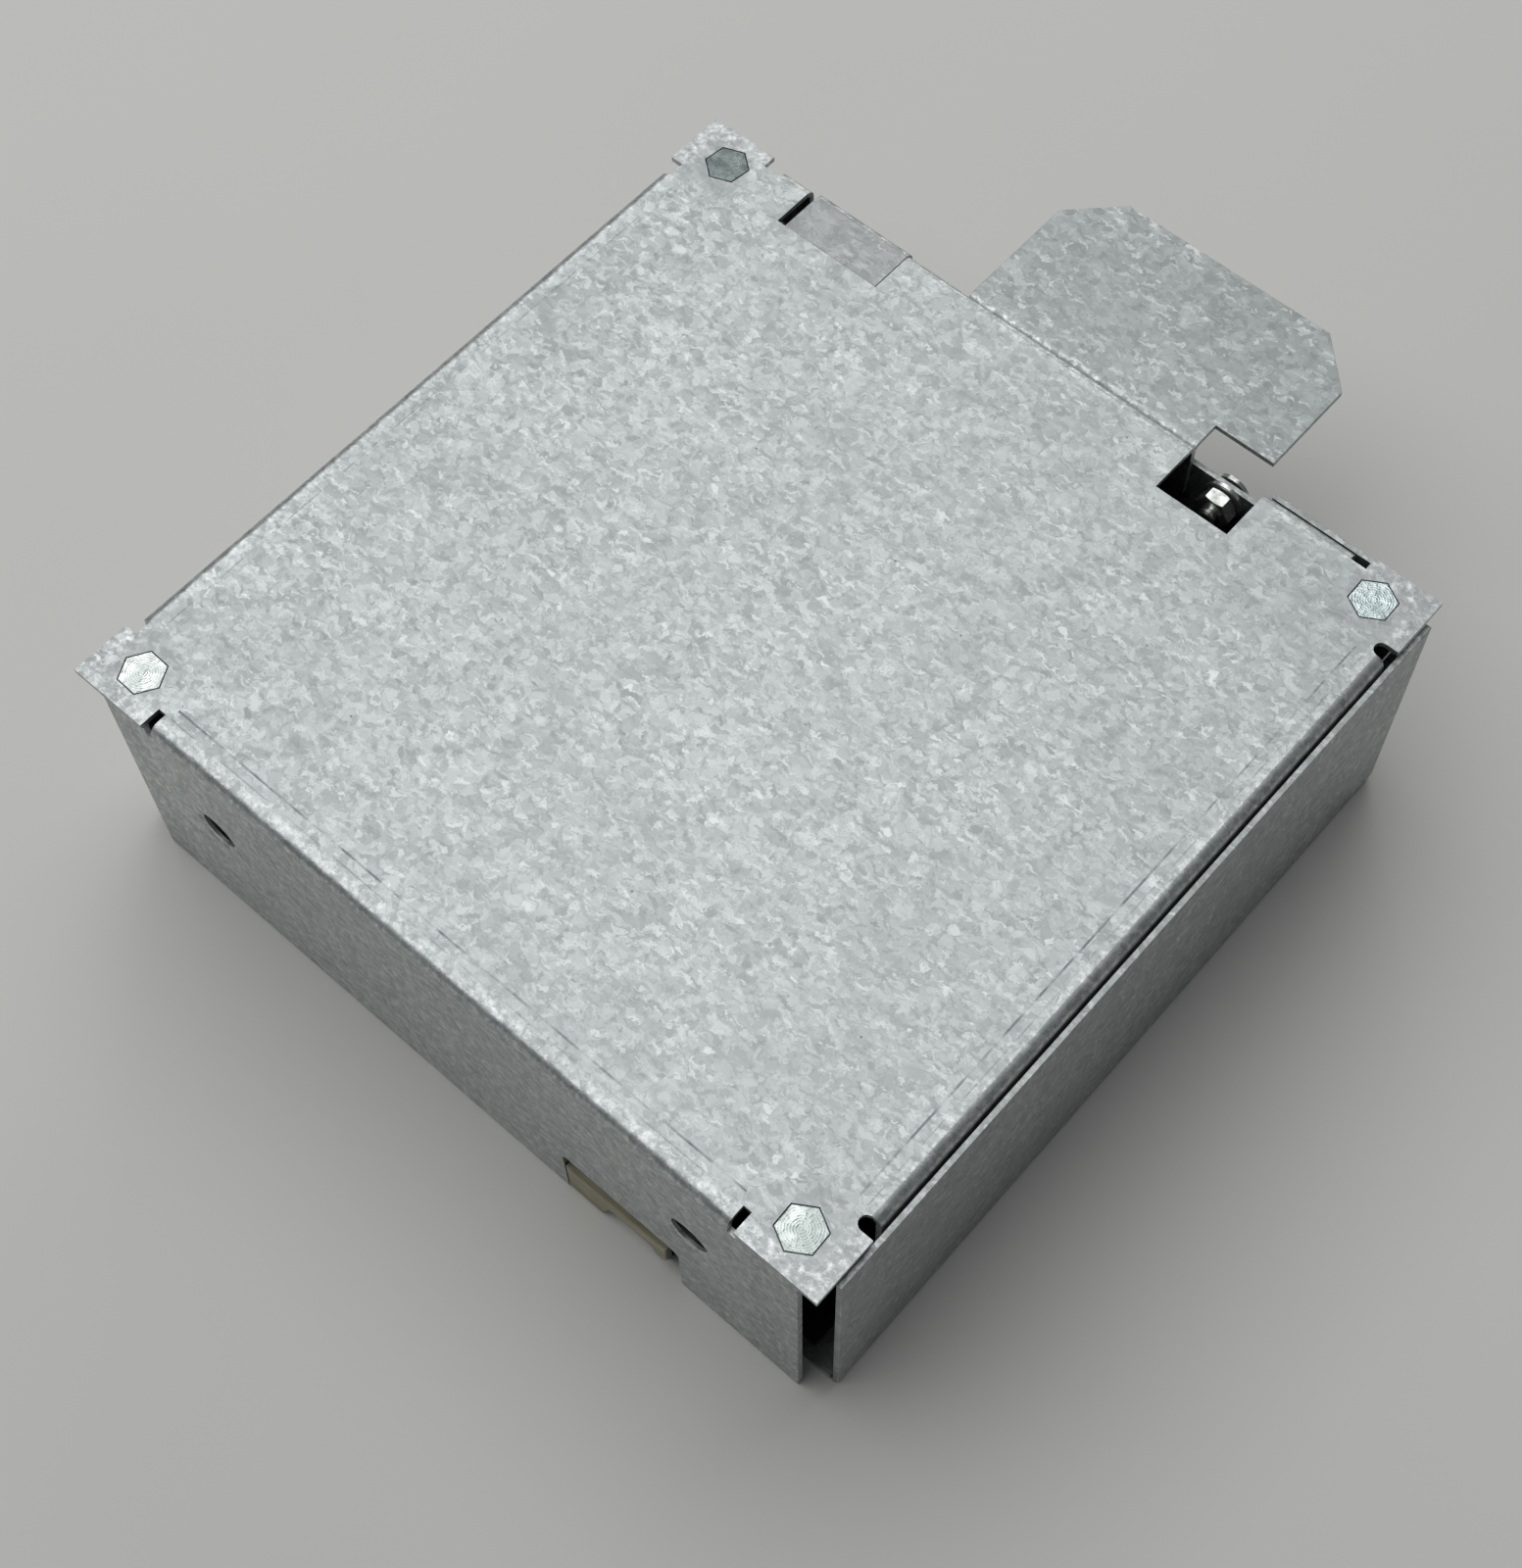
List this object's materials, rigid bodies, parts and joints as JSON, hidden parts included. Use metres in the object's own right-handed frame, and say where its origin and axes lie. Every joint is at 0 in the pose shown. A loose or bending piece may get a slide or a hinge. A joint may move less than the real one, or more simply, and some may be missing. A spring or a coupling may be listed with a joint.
{
  "type": "electrical junction box",
  "caption": "Shallow square galvanised sheet-metal junction box: lid with flush hexagon standoff heads hooked on a tray body, octagonal side flap, cable cut-out, terminal board inside.",
  "frame": {"origin": "centre of the body's back panel, on its outer face, midway between the standoffs", "axes": "+Z out of the back panel towards the lid, +Y towards the flap and the hook side, +X to the right seen from the cable cut-out side"},
  "size_m": [0.182, 0.2148, 0.061],
  "materials": {
    "lid_shell": "hot-dip galvanised, fine spangle",
    "body_shell": "hot-dip galvanised, fine spangle",
    "zinc_plated_steel": "bright zinc plate",
    "screw_steel": "bright zinc plate",
    "brass": "milled",
    "trim_nylon": "natural nylon",
    "rivet_nylon": "moulded nylon",
    "liner_laminate": "glass-epoxy laminate, dark face, olive cut edges",
    "board_laminate": "glass-epoxy laminate with black solder resist",
    "housing_polyamide": "moulded polyamide"
  },
  "bodies": {
    "body": {"body_shell": "body_shell", "clinch_nut_left": "zinc_plated_steel", "clinch_nut_right": "zinc_plated_steel", "cable_edge_trim": "trim_nylon", "insulating_liner": "liner_laminate", "liner_rivet_front_left": "rivet_nylon", "liner_rivet_front_right": "rivet_nylon", "liner_rivet_back_left": "rivet_nylon", "liner_rivet_back_right": "rivet_nylon", "earth_screw": "screw_steel", "earth_washer": "screw_steel", "earth_nut": "screw_steel"},
    "lid": {"lid_shell": "lid_shell", "standoff_front_left": "zinc_plated_steel", "standoff_front_right": "zinc_plated_steel", "standoff_back_left": "zinc_plated_steel", "standoff_back_right": "zinc_plated_steel", "terminal_board": "board_laminate", "board_washer_front_left": "screw_steel", "board_washer_front_right": "screw_steel", "board_washer_back_left": "screw_steel", "board_washer_back_right": "screw_steel", "board_screw_front_left": "screw_steel", "board_screw_front_right": "screw_steel", "board_screw_back_left": "screw_steel", "board_screw_back_right": "screw_steel", "terminal_housing": "housing_polyamide", "terminal_bar_1": "brass", "terminal_bar_2": "brass", "terminal_bar_3": "brass", "terminal_bar_4": "brass", "terminal_bar_5": "brass", "clamp_screw_1_front": "screw_steel", "clamp_screw_1_back": "screw_steel", "clamp_screw_2_front": "screw_steel", "clamp_screw_2_back": "screw_steel", "clamp_screw_3_front": "screw_steel", "clamp_screw_3_back": "screw_steel", "clamp_screw_4_front": "screw_steel", "clamp_screw_4_back": "screw_steel", "clamp_screw_5_front": "screw_steel", "clamp_screw_5_back": "screw_steel", "block_screw_left": "screw_steel", "block_screw_right": "screw_steel", "block_nut_left": "screw_steel", "block_nut_right": "screw_steel"}
  },
  "joints": [
    {"name": "lid_hinge", "type": "hinge", "parent": "body", "child": "lid", "pos_m": [0, 0.0878, 0.0598], "axis": [-1, 0, 0], "range_deg": [0, 95]}
  ]
}
